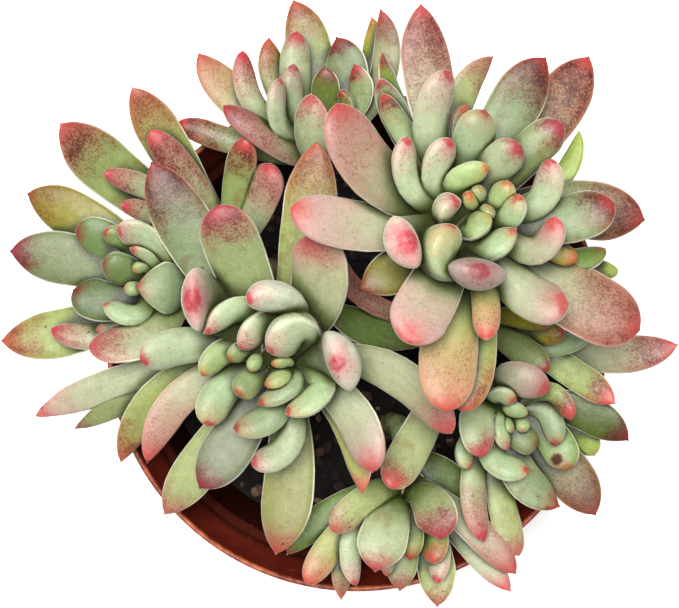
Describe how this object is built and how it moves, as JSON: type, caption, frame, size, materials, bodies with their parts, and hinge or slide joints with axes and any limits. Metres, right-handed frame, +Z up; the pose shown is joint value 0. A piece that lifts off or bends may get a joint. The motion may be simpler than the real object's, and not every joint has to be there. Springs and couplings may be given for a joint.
{
  "type": "potted succulent",
  "caption": "Clump of thick-leaved echeveria rosettes growing from dark soil in a round plastic nursery pot with a rolled lip and a drained base.",
  "frame": {"origin": "middle of the pot's underside", "axes": "+Z up along the pot's axis, +Y away from the viewer, towards the top of the picture"},
  "size_m": [0.1977, 0.1785, 0.1884],
  "materials": {
    "pot_plastic": "satin reddish brown moulded plastic",
    "soil": "loose dark soil with pale and brown grit",
    "leaves": "pale green succulent skin with red tips and a powdery bloom"
  },
  "bodies": {
    "root": {"pot": "pot_plastic", "soil": "soil", "head_tall": "leaves", "head_wide": "leaves", "head_left": "leaves", "head_inner": "leaves", "head_top": "leaves", "head_under": "leaves", "head_right": "leaves", "head_bottom": "leaves"}
  },
  "joints": []
}
